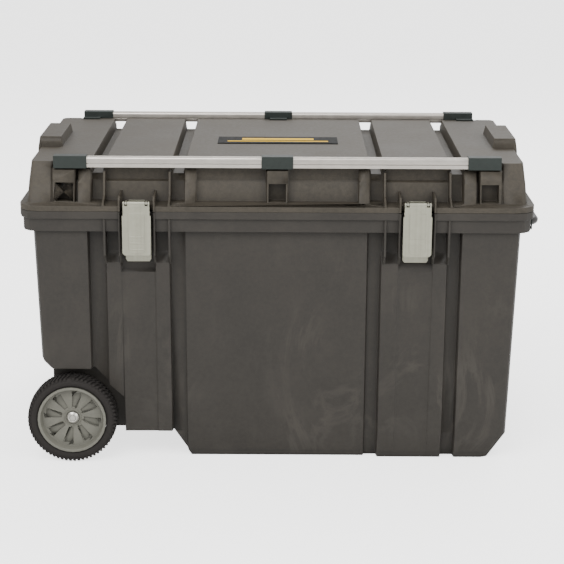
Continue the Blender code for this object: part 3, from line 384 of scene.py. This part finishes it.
def metal(name, colour, roughness=0.32, stretch=(4.0, 900.0, 900.0), wear_and_highlight=0.3, shade=0.5, metallic=1.0,
          bump=0.00004, tone=0.10):
    """Bright metal: drawn lines, cloudy tone, polished edges lightened partly as a painted highlight, and
    painted shade greying the corners.
    """
    tree, shader, vector = new_material(name)
    lines = placed(tree, "drawn_lines", vector, Stretch=stretch)
    edge = placed(tree, "edge_wear_and_painted_light", vector, Width=0.0007, Reach=0.010)
    scratch = placed(tree, "fine_scratches", vector)
    base = mixed(tree, lines["Tone"], toned(colour, 1 - tone), toned(colour, 1 + tone))
    # Painted shade: corners greyed towards a dark copy of the colour.
    base = mixed(tree, maths(tree, "MULTIPLY", edge["Painted Crevice Shade"], shade), base, toned(colour, 0.25))
    # Edges lightened: polish, and partly a painted highlight.
    base = mixed(tree, maths(tree, "MULTIPLY", edge["Wear And Highlight"], wear_and_highlight), base, toned(colour, 1.5))
    tree.links.new(base, shader.inputs["Base Color"])
    shader.inputs["Metallic"].default_value = metallic
    rough = maths(tree, "ADD", span(tree, lines["Tone"], 0.0, 1.0, roughness - 0.06, roughness + 0.06),
                  maths(tree, "MULTIPLY", scratch["Mask"], 0.15), clamp=True)
    tree.links.new(rough, shader.inputs["Roughness"])
    bumped = add_node(tree, "ShaderNodeBump", {"Height": lines["Height"], "Strength": 0.5,
                                               "Distance": bump, "Normal": edge["Normal"]})
    tree.links.new(bumped.outputs["Normal"], shader.inputs["Normal"])
    return MATERIALS[name]


def make_finishes(scene):
    """The shared effects, then every finish of the chest."""
    effects = (("moulded_grain", grain_group), ("flow_marks", flow_group), ("edge_wear_and_painted_light", edge_group),
               ("fine_scratches", scratch_group), ("drawn_lines", brushed_group))
    for name, build in effects:
        GROUPS[name] = build()
    plastics = scene.chest_plastics
    metals = scene.chest_metals
    wheels = scene.chest_wheels
    badge = scene.chest_badge
    plastic("tub_plastic", plastics.tub_colour, 0.58, flow=0.42, wear_and_highlight=0.45)
    plastic("lid_plastic", plastics.lid_colour, 0.56, flow=0.10, speckle=0.34, mottle=0.24, wear_and_highlight=0.5)
    plastic("trim_plastic", plastics.trim_colour, 0.50, wear_and_highlight=0.45)
    plastic("tray_plastic", plastics.tray_colour, 0.58)
    plastic("tyre_rubber", wheels.tyre_colour, 0.78, pits=1400.0, bump=0.00008, wear_and_highlight=0.15, speckle=0.08)
    plastic("seal_rubber", wheels.tyre_colour, 0.85, pits=1400.0, bump=0.00005, wear_and_highlight=0.05)
    plastic("hub_plastic", wheels.hub_colour, 0.50, wear_and_highlight=0.55, speckle=0.05, mottle=0.08, shade=0.75,
            bump=0.00006)
    plastic("nylon", linear(190, 188, 180), 0.5, bump=0.00004, speckle=0.02)
    plastic("badge_plate", badge.plate_colour, 0.60, bump=0.00002, speckle=0.02, wear_and_highlight=0.2, gloss=0.10)
    plastic("badge_marks", badge.mark_colour, 0.55, bump=0.00002, speckle=0.02, wear_and_highlight=0.1, shade=0.1,
            gloss=0.10)
    plastic("handle_paint", metals.handle_colour, 0.30, bump=0.00004, pits=600.0, speckle=0.04, gloss=0.5)
    metal("rail_aluminium", metals.rail_colour, 0.34, stretch=(3.0, 700.0, 700.0))
    metal("latch_steel", metals.latch_colour, 0.42, stretch=(700.0, 300.0, 8.0), metallic=0.75)
    metal("plated_steel", linear(188, 186, 178), 0.30, stretch=(300.0, 20.0, 300.0), metallic=0.95)


# ---- pieces -------------------------------------------------------------------
def merged_copy(node):
    """The part's mesh with its loose triangles joined and its flat faces whole again."""
    bm = bmesh.new()
    bm.from_mesh(frame["nodes"][node].data)
    bmesh.ops.remove_doubles(bm, verts=bm.verts, dist=MERGE_DISTANCE)
    bmesh.ops.dissolve_limit(bm, angle_limit=FLAT_ANGLE, verts=bm.verts, edges=bm.edges,
                             use_dissolve_boundaries=False)
    return bm


def round_edges(bm, width, angle=28.0, segments=2):
    """Rounds the sharp edges that have room for it, and splits faces of five sides or more."""
    room = width * ROOM_FACTOR
    limit = math.radians(angle)
    tight = {vert for edge in bm.edges if edge.calc_length() < room for vert in edge.verts}
    for face in bm.faces:
        if face.calc_area() < room * face.calc_perimeter() / 4:
            tight.update(face.verts)
    edges = []
    for edge in bm.edges:
        if not edge.is_manifold or edge.verts[0] in tight or edge.verts[1] in tight:
            continue
        if edge.calc_face_angle(0.0) > limit:
            edges.append(edge)
    if edges:
        bmesh.ops.bevel(bm, geom=edges, offset=width, offset_type="OFFSET", segments=segments, profile=0.5,
                        affect="EDGES", clamp_overlap=False, material=-1, loop_slide=True)
    wide = [face for face in bm.faces if len(face.verts) > 4]
    bmesh.ops.triangulate(bm, faces=wide, quad_method="BEAUTY", ngon_method="EAR_CLIP")


def finish_piece(name, bm, finish, stands_for, smooth=40.0):
    """Makes the object, puts it on the body of the parts it stands for and hides those."""
    mesh = bpy.data.meshes.new(name)
    bm.to_mesh(mesh)
    bm.free()
    mesh.shade_smooth()
    mesh.set_sharp_from_angle(angle=math.radians(smooth))
    piece = bpy.data.objects.new(name, mesh)
    bpy.context.scene.collection.objects.link(piece)
    mesh.materials.append(MATERIALS[finish])
    modifier = piece.modifiers.new("even_normals", "WEIGHTED_NORMAL")
    modifier.keep_sharp = True
    modifier.weight = 80
    return settle(piece, stands_for)


def settle(piece, stands_for):
    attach(piece, frame["nodes"][stands_for[0]]["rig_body"])
    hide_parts(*stands_for)
    return piece


def carry(node, finish, width=0.0004, angle=28.0, segments=2, smooth=40.0):
    """A part kept in its own shape, with rounded edges and a finish."""
    bm = merged_copy(node)
    round_edges(bm, width, angle, segments)
    return finish_piece(f"{node}_finished", bm, finish, [node], smooth)


def outline_prism(bm, points, direction):
    """Extrudes a closed outline of points along direction."""
    verts = [bm.verts.new(point) for point in points]
    face = bm.faces.new(verts)
    result = bmesh.ops.extrude_face_region(bm, geom=[face])
    moved = [part for part in result["geom"] if isinstance(part, bmesh.types.BMVert)]
    bmesh.ops.translate(bm, verts=moved, vec=direction)
    bmesh.ops.recalc_face_normals(bm, faces=bm.faces)


def block(bm, low, high):
    size = Vector(high) - Vector(low)
    middle = (Vector(high) + Vector(low)) / 2
    matrix = Matrix.Translation(middle) @ Matrix.Diagonal((*size, 1.0))
    return bmesh.ops.create_cube(bm, size=1.0, matrix=matrix)["verts"]


# ---- operators ------------------------------------------------------------------
class CHEST_OT_finishes(bpy.types.Operator):
    """Make every finish of the chest"""

    bl_idname = "chest.finishes"
    bl_label = "Finishes"

    def execute(self, context):
        make_finishes(context.scene)
        return {"FINISHED"}


class CHEST_OT_tub(bpy.types.Operator):
    """Finish the moulded tub"""

    bl_idname = "chest.tub"
    bl_label = "Tub"

    def execute(self, context):
        carry("tub", "tub_plastic", context.scene.chest_plastics.edge_round)
        return {"FINISHED"}


class CHEST_OT_lid(bpy.types.Operator):
    """Finish the lid and its seal"""

    bl_idname = "chest.lid"
    bl_label = "Lid"

    def execute(self, context):
        carry("lid", "lid_plastic", context.scene.chest_plastics.edge_round)
        carry("lid_seal", "seal_rubber", 0.0003)
        return {"FINISHED"}


class CHEST_OT_badge(bpy.types.Operator):
    """Make the badge with its plain bars"""

    bl_idname = "chest.badge"
    bl_label = "Badge"

    def execute(self, context):
        carry("badge_plate", "badge_plate", 0.0005)
        self.bars()
        return {"FINISHED"}

    def bars(self):
        """A thick bar over a thin one, each a little proud of the plate."""
        low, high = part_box("badge_plate")
        size = high - low
        bm = bmesh.new()
        for start, end, reach in ((0.50, 0.76, 0.30), (0.24, 0.36, 0.42)):
            centre = (low.x + high.x) / 2
            block(bm, (centre - reach * size.x, low.y + start * size.y, high.z - 0.0002),
                  (centre + reach * size.x, low.y + end * size.y, high.z + 0.0003))
        finish_piece("badge_bars_finished", bm, "badge_marks", ["badge_plate"])


class CHEST_OT_rails(bpy.types.Operator):
    """Make the extruded rails with their caps and clips"""

    bl_idname = "chest.rails"
    bl_label = "Rails"

    def execute(self, context):
        for place in PLACES:
            self.rail(place)
            for node in (f"rail_clip_{place}", f"rail_cap_{place}_left", f"rail_cap_{place}_right"):
                carry(node, "trim_plastic", 0.0007)
        return {"FINISHED"}

    def rail(self, place):
        """An extrusion with a slot along both sides and two along the top."""
        low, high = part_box(f"rail_{place}")
        middle = (low.y + high.y) / 2
        half = (high.y - low.y) / 2
        slot_depth = 0.0014
        slot_low = low.z + 0.0066
        slot_high = slot_low + 0.0016
        groove = 0.0008
        side = [(half, low.z), (half, slot_low), (half - slot_depth, slot_low + 0.0003),
                (half - slot_depth, slot_high - 0.0003), (half, slot_high), (half, high.z - 0.0045),
                (half - 0.0008, high.z - 0.0020), (half - 0.0022, high.z - 0.0007), (half - 0.0042, high.z),
                (0.0052, high.z), (0.0048, high.z - groove), (0.0034, high.z - groove), (0.0030, high.z)]
        outline = [(y, z) for y, z in side] + [(-y, z) for y, z in reversed(side)]
        bm = bmesh.new()
        outline_prism(bm, [(low.x, middle + y, z) for y, z in outline], (high.x - low.x, 0, 0))
        finish_piece(f"rail_{place}_finished", bm, "rail_aluminium", [f"rail_{place}"], smooth=30.0)


class CHEST_OT_latches(bpy.types.Operator):
    """Make the pressed-steel latches"""

    bl_idname = "chest.latches"
    bl_label = "Latches"

    def execute(self, context):
        edge = context.scene.chest_metals.sheet_edge
        for hand in HANDS:
            for node in (f"latch_base_{hand}", f"latch_claw_{hand}"):
                carry(node, "latch_steel", edge)
            self.lever(f"latch_lever_{hand}", edge)
            for node in (f"latch_pin_{hand}", f"claw_pin_{hand}", f"latch_rivet_{hand}_outer",
                         f"latch_rivet_{hand}_inner"):
                carry(node, "plated_steel", 0.0002)
        return {"FINISHED"}


    def lever(self, node, rounding):
        """The lever with its raised panel and three grip bars."""
        low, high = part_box(node)
        middle = (low.x + high.x) / 2
        sheet = low.y + LEVER_SET_BACK
        bm = merged_copy(node)
        for vert in bm.verts:
            if vert.co.y < sheet and vert.co.z < high.z - 0.012:
                vert.co.y = sheet
        round_edges(bm, rounding)
        half, top, bottom, corner = 0.0155, high.z - 0.022, low.z + 0.004, 0.006
        outline = [(middle - half, top), (middle + half, top), (middle + half, bottom + corner),
                   (middle + half - corner, bottom), (middle - half + corner, bottom),
                   (middle - half, bottom + corner)]
        panel = bmesh.new()
        outline_prism(panel, [(x, sheet + 0.0002, z) for x, z in outline], (0, -0.0007, 0))
        round_edges(panel, 0.0004)
        for level in GRIP_LEVELS:
            z = low.z + level
            bar = block(panel, (middle - 0.0125, low.y, z - 0.0012), (middle + 0.0125, sheet, z + 0.0012))
            edges = list({edge for vert in bar for edge in vert.link_edges})
            bmesh.ops.bevel(panel, geom=edges, offset=0.0002, offset_type="OFFSET", segments=1, profile=0.5,
                            affect="EDGES", clamp_overlap=False, material=-1)
        mesh = bpy.data.meshes.new("latch_panel")
        panel.to_mesh(mesh)
        panel.free()
        bm.from_mesh(mesh)
        bpy.data.meshes.remove(mesh)
        for vert in bm.verts:
            vert.co.y = max(vert.co.y, low.y)
        finish_piece(f"{node}_finished", bm, "latch_steel", [node])


class CHEST_OT_hinges(bpy.types.Operator):
    """Finish the hinge pins along the rear rim"""

    bl_idname = "chest.hinges"
    bl_label = "Hinges"

    def execute(self, context):
        for place in ("left", "middle", "right"):
            carry(f"hinge_pin_{place}", "plated_steel", 0.0004)
        return {"FINISHED"}


class CHEST_OT_wheels(bpy.types.Operator):
    """Make the tyres and finish hubs, bushes and the axle"""

    bl_idname = "chest.wheels"
    bl_label = "Wheels"

    def execute(self, context):
        settings = context.scene.chest_wheels
        for place in PLACES:
            self.tyre(place, settings)
            carry(f"wheel_hub_{place}", "hub_plastic", 0.0005)
            carry(f"wheel_bush_{place}", "nylon", 0.0003)
            carry(f"push_cap_{place}", "plated_steel", 0.0004)
            carry(f"wheel_washer_{place}", "plated_steel", 0.0002)
        carry("axle", "plated_steel", 0.0006)
        return {"FINISHED"}

    def tyre(self, place, settings):
        low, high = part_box(f"tyre_{place}")
        middle = (low + high) / 2
        radius = (high.x - low.x) / 2
        half = (high.y - low.y) / 2
        seat = (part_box(f"wheel_hub_{place}")[1].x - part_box(f"wheel_hub_{place}")[0].x) / 2 + 0.0003
        base = radius - settings.lug_height
        profile = [(seat, half - 0.0035), (seat + 0.0030, half - 0.0012), (seat + 0.0070, half - 0.0004),
                   (base - 0.0080, half - 0.0003), (base - 0.0030, half - 0.0014),
                   (base - 0.0006, half - 0.0040), (base, half - 0.0075), (base + 0.0003, 0.004)]
        points = profile + [(r, -y) for r, y in reversed(profile)]
        bm = bmesh.new()
        verts = [bm.verts.new((r, y, 0.0)) for r, y in points]
        edges = [bm.edges.new((verts[i], verts[(i + 1) % len(verts)])) for i in range(len(verts))]
        bmesh.ops.spin(bm, geom=verts + edges, cent=(0, 0, 0), axis=(0, 1, 0), dvec=(0, 0, 0),
                       angle=2 * math.pi, steps=TYRE_STEPS, use_merge=True, use_duplicate=False)
        bmesh.ops.remove_doubles(bm, verts=bm.verts, dist=0.00001)
        bmesh.ops.recalc_face_normals(bm, faces=bm.faces)
        self.lugs(bm, radius, half, settings)
        bmesh.ops.translate(bm, verts=bm.verts, vec=middle)
        finish_piece(f"tyre_{place}_finished", bm, "tyre_rubber", [f"tyre_{place}"], smooth=38.0)

    def lugs(self, bm, radius, half, settings):
        """Slanted blocks in two rows, each from the tread's middle over the shoulder."""
        height = settings.lug_height + 0.0016
        step = 2 * math.pi / settings.lugs
        length = step * radius * 0.56
        for side in (-1, 1):
            for index in range(settings.lugs):
                wedge = bmesh.ops.create_cube(bm, size=1.0)["verts"]
                faces = list({face for vert in wedge for face in vert.link_faces})
                bmesh.ops.scale(bm, vec=(length, half * 0.90, height), verts=wedge)
                for vert in wedge:
                    outward = vert.co.y > 0
                    top = vert.co.z > 0
                    vert.co.x += vert.co.y * side * 0.42
                    if outward:
                        vert.co.z -= 0.0014 if top else 0.0030
                    if top:
                        vert.co.x *= 0.94
                edges = [edge for face in faces for edge in face.edges]
                bmesh.ops.bevel(bm, geom=list(set(edges)), offset=0.0004, offset_type="OFFSET", segments=1,
                                profile=0.5, affect="EDGES", clamp_overlap=False, material=-1)
                bm.verts.index_update()
                fresh = [vert for vert in bm.verts if vert.index >= 0 and vert.tag is False]
                for vert in fresh:
                    vert.tag = True
                block_verts = [vert for vert in fresh if vert.co.length < 0.05]
                shift = Matrix.Translation((0, side * half * 0.515, radius - height / 2 - 0.00015))
                flip = Matrix.Diagonal((1, side, 1, 1))
                turn = Matrix.Rotation((index + (0.5 if side > 0 else 0.0)) * step, 4, "Y")
                bmesh.ops.transform(bm, matrix=turn @ shift @ flip, verts=block_verts)


class CHEST_OT_handle(bpy.types.Operator):
    """Make the pull handle and finish its guides, stops and sockets"""

    bl_idname = "chest.handle"
    bl_label = "Pull handle"

    def execute(self, context):
        self.tube()
        for place in PLACES:
            carry(f"leg_stop_{place}", "nylon", 0.0006)
            carry(f"handle_guide_{place}", "trim_plastic", 0.0006)
            carry(f"handle_socket_{place}", "trim_plastic", 0.0004)
        return {"FINISHED"}

    def tube(self):
        low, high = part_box("pull_handle")
        radius = (high.z - low.z) / 2
        bend = HANDLE_BEND
        outer_x = high.x - radius
        outer_y = high.y - radius
        route = [(low.x, -outer_y)]
        for index in range(BEND_STEPS + 1):
            angle = math.radians(-90 + 90 * index / BEND_STEPS)
            turn_x = outer_x - bend + bend * math.cos(angle)
            turn_y = -outer_y + bend + bend * math.sin(angle)
            route.append((turn_x, turn_y))
        route += [(x, -y) for x, y in reversed(route)]
        curve = bpy.data.curves.new("handle_route", "CURVE")
        curve.dimensions = "3D"
        curve.bevel_depth = radius
        curve.bevel_resolution = 6
        curve.use_fill_caps = True
        spline = curve.splines.new("POLY")
        spline.points.add(len(route) - 1)
        for point, (x, y) in zip(spline.points, route):
            point.co = (x, y, (low.z + high.z) / 2, 1)
        source = bpy.data.objects.new("handle_route", curve)
        bpy.context.scene.collection.objects.link(source)
        bpy.context.view_layer.update()
        mesh = bpy.data.meshes.new_from_object(source.evaluated_get(bpy.context.evaluated_depsgraph_get()))
        bpy.data.objects.remove(source)
        bm = bmesh.new()
        bm.from_mesh(mesh)
        bmesh.ops.remove_doubles(bm, verts=bm.verts, dist=0.00001)
        bmesh.ops.recalc_face_normals(bm, faces=bm.faces)
        finish_piece("pull_handle_finished", bm, "handle_paint", ["pull_handle"], smooth=45.0)


class CHEST_OT_tray(bpy.types.Operator):
    """Finish the sliding tray"""

    bl_idname = "chest.tray"
    bl_label = "Tray"

    def execute(self, context):
        carry("tote_tray", "tray_plastic", 0.0009)
        return {"FINISHED"}


class CHEST_OT_stage(bpy.types.Operator):
    """Set the floor, the soft lights and the camera"""

    bl_idname = "chest.stage"
    bl_label = "Floor, light and camera"

    def execute(self, context):
        settings = context.scene.chest_stage
        self.floor(settings)
        self.lights(settings)
        self.camera(context.scene)
        return {"FINISHED"}

    def floor(self, settings):
        tree, shader, vector = new_material("pale_floor")
        tone = noise(tree, vector, 3.0, 3.0, 0.5)
        base = mixed(tree, tone, toned(settings.floor_colour, 0.985), toned(settings.floor_colour, 1.0))
        tree.links.new(base, shader.inputs["Base Color"])
        shader.inputs["Roughness"].default_value = 0.9
        shader.inputs["Emission Color"].default_value = (1.0, 1.0, 1.0, 1.0)
        path = add_node(tree, "ShaderNodeLightPath")
        glow = maths(tree, "MULTIPLY", path.outputs["Is Camera Ray"], settings.floor_glow)
        tree.links.new(glow, shader.inputs["Emission Strength"])
        bm = bmesh.new()
        bmesh.ops.create_grid(bm, x_segments=1, y_segments=1, size=14.0)
        mesh = bpy.data.meshes.new("floor")
        bm.to_mesh(mesh)
        bm.free()
        mesh.materials.append(MATERIALS["pale_floor"])
        floor = bpy.data.objects.new("floor", mesh)
        bpy.context.scene.collection.objects.link(floor)

    def lights(self, settings):
        world = bpy.data.worlds.new("studio")
        world.use_nodes = True
        background = world.node_tree.nodes["Background"]
        background.inputs["Color"].default_value = (1.0, 1.0, 1.0, 1.0)
        tree = world.node_tree
        path = add_node(tree, "ShaderNodeLightPath")
        seen = maths(tree, "MULTIPLY", path.outputs["Is Camera Ray"], settings.floor_glow * SURROUND_SHARE)
        tree.links.new(maths(tree, "ADD", seen, settings.surround), background.inputs["Strength"])
        bpy.context.scene.world = world
        for name, place, size, power in (("key_light", (-1.2, -2.6, 3.2), 2.6, 1.0),
                                         ("fill_light", (2.4, -2.2, 1.9), 2.0, 0.35),
                                         ("rear_light", (0.6, 2.4, 3.0), 2.4, 0.6)):
            data = bpy.data.lights.new(name, "AREA")
            data.size = size
            data.energy = settings.light_power * power
            light = bpy.data.objects.new(name, data)
            light.location = place
            aim = Vector(LIGHT_TARGET) - Vector(place)
            light.rotation_euler = aim.to_track_quat("-Z", "Y").to_euler()
            bpy.context.scene.collection.objects.link(light)

    def camera(self, scene):
        data = bpy.data.cameras.new("view_camera")
        data.lens = LENS
        data.sensor_width = SENSOR
        camera = bpy.data.objects.new("view_camera", data)
        tilt = Matrix.Rotation(math.radians(90 - CAMERA_DIP), 4, "X")
        roll = Matrix.Rotation(math.radians(CAMERA_ROLL), 4, "Z")
        camera.matrix_world = Matrix.Translation(CAMERA_PLACE) @ tilt @ roll
        scene.collection.objects.link(camera)
        scene.camera = camera


OPERATORS = (CHEST_OT_finishes, CHEST_OT_tub, CHEST_OT_lid, CHEST_OT_badge, CHEST_OT_rails,
             CHEST_OT_latches, CHEST_OT_hinges, CHEST_OT_wheels, CHEST_OT_handle, CHEST_OT_tray,
             CHEST_OT_stage)
SETTINGS = (("chest_plastics", ChestPlastics), ("chest_metals", ChestMetals), ("chest_wheels", ChestWheels),
            ("chest_badge", ChestBadge), ("chest_stage", ChestStage))


class VIEW3D_PT_job_chest(bpy.types.Panel):
    """Settings and build steps of the chest"""

    bl_label = "Job Chest"
    bl_idname = "VIEW3D_PT_job_chest"
    bl_space_type = "VIEW_3D"
    bl_region_type = "UI"
    bl_category = "Job Chest"

    def draw(self, context):
        for name, group in SETTINGS:
            box = self.layout.box()
            for key in group.__annotations__:
                box.prop(getattr(context.scene, name), key)
        for operator in OPERATORS:
            self.layout.operator(operator.bl_idname)


def register():
    for _, group in SETTINGS:
        bpy.utils.register_class(group)
    for operator in OPERATORS:
        bpy.utils.register_class(operator)
    bpy.utils.register_class(VIEW3D_PT_job_chest)
    for name, group in SETTINGS:
        setattr(bpy.types.Scene, name, PointerProperty(type=group))


def unregister():
    for name, _ in SETTINGS:
        delattr(bpy.types.Scene, name)
    bpy.utils.unregister_class(VIEW3D_PT_job_chest)
    for operator in reversed(OPERATORS):
        bpy.utils.unregister_class(operator)
    for _, group in reversed(SETTINGS):
        bpy.utils.unregister_class(group)


def main():
    register()
    for operator in OPERATORS:
        family, step = operator.bl_idname.split(".")
        getattr(getattr(bpy.ops, family), step)()


if __name__ == "__main__":
    main()
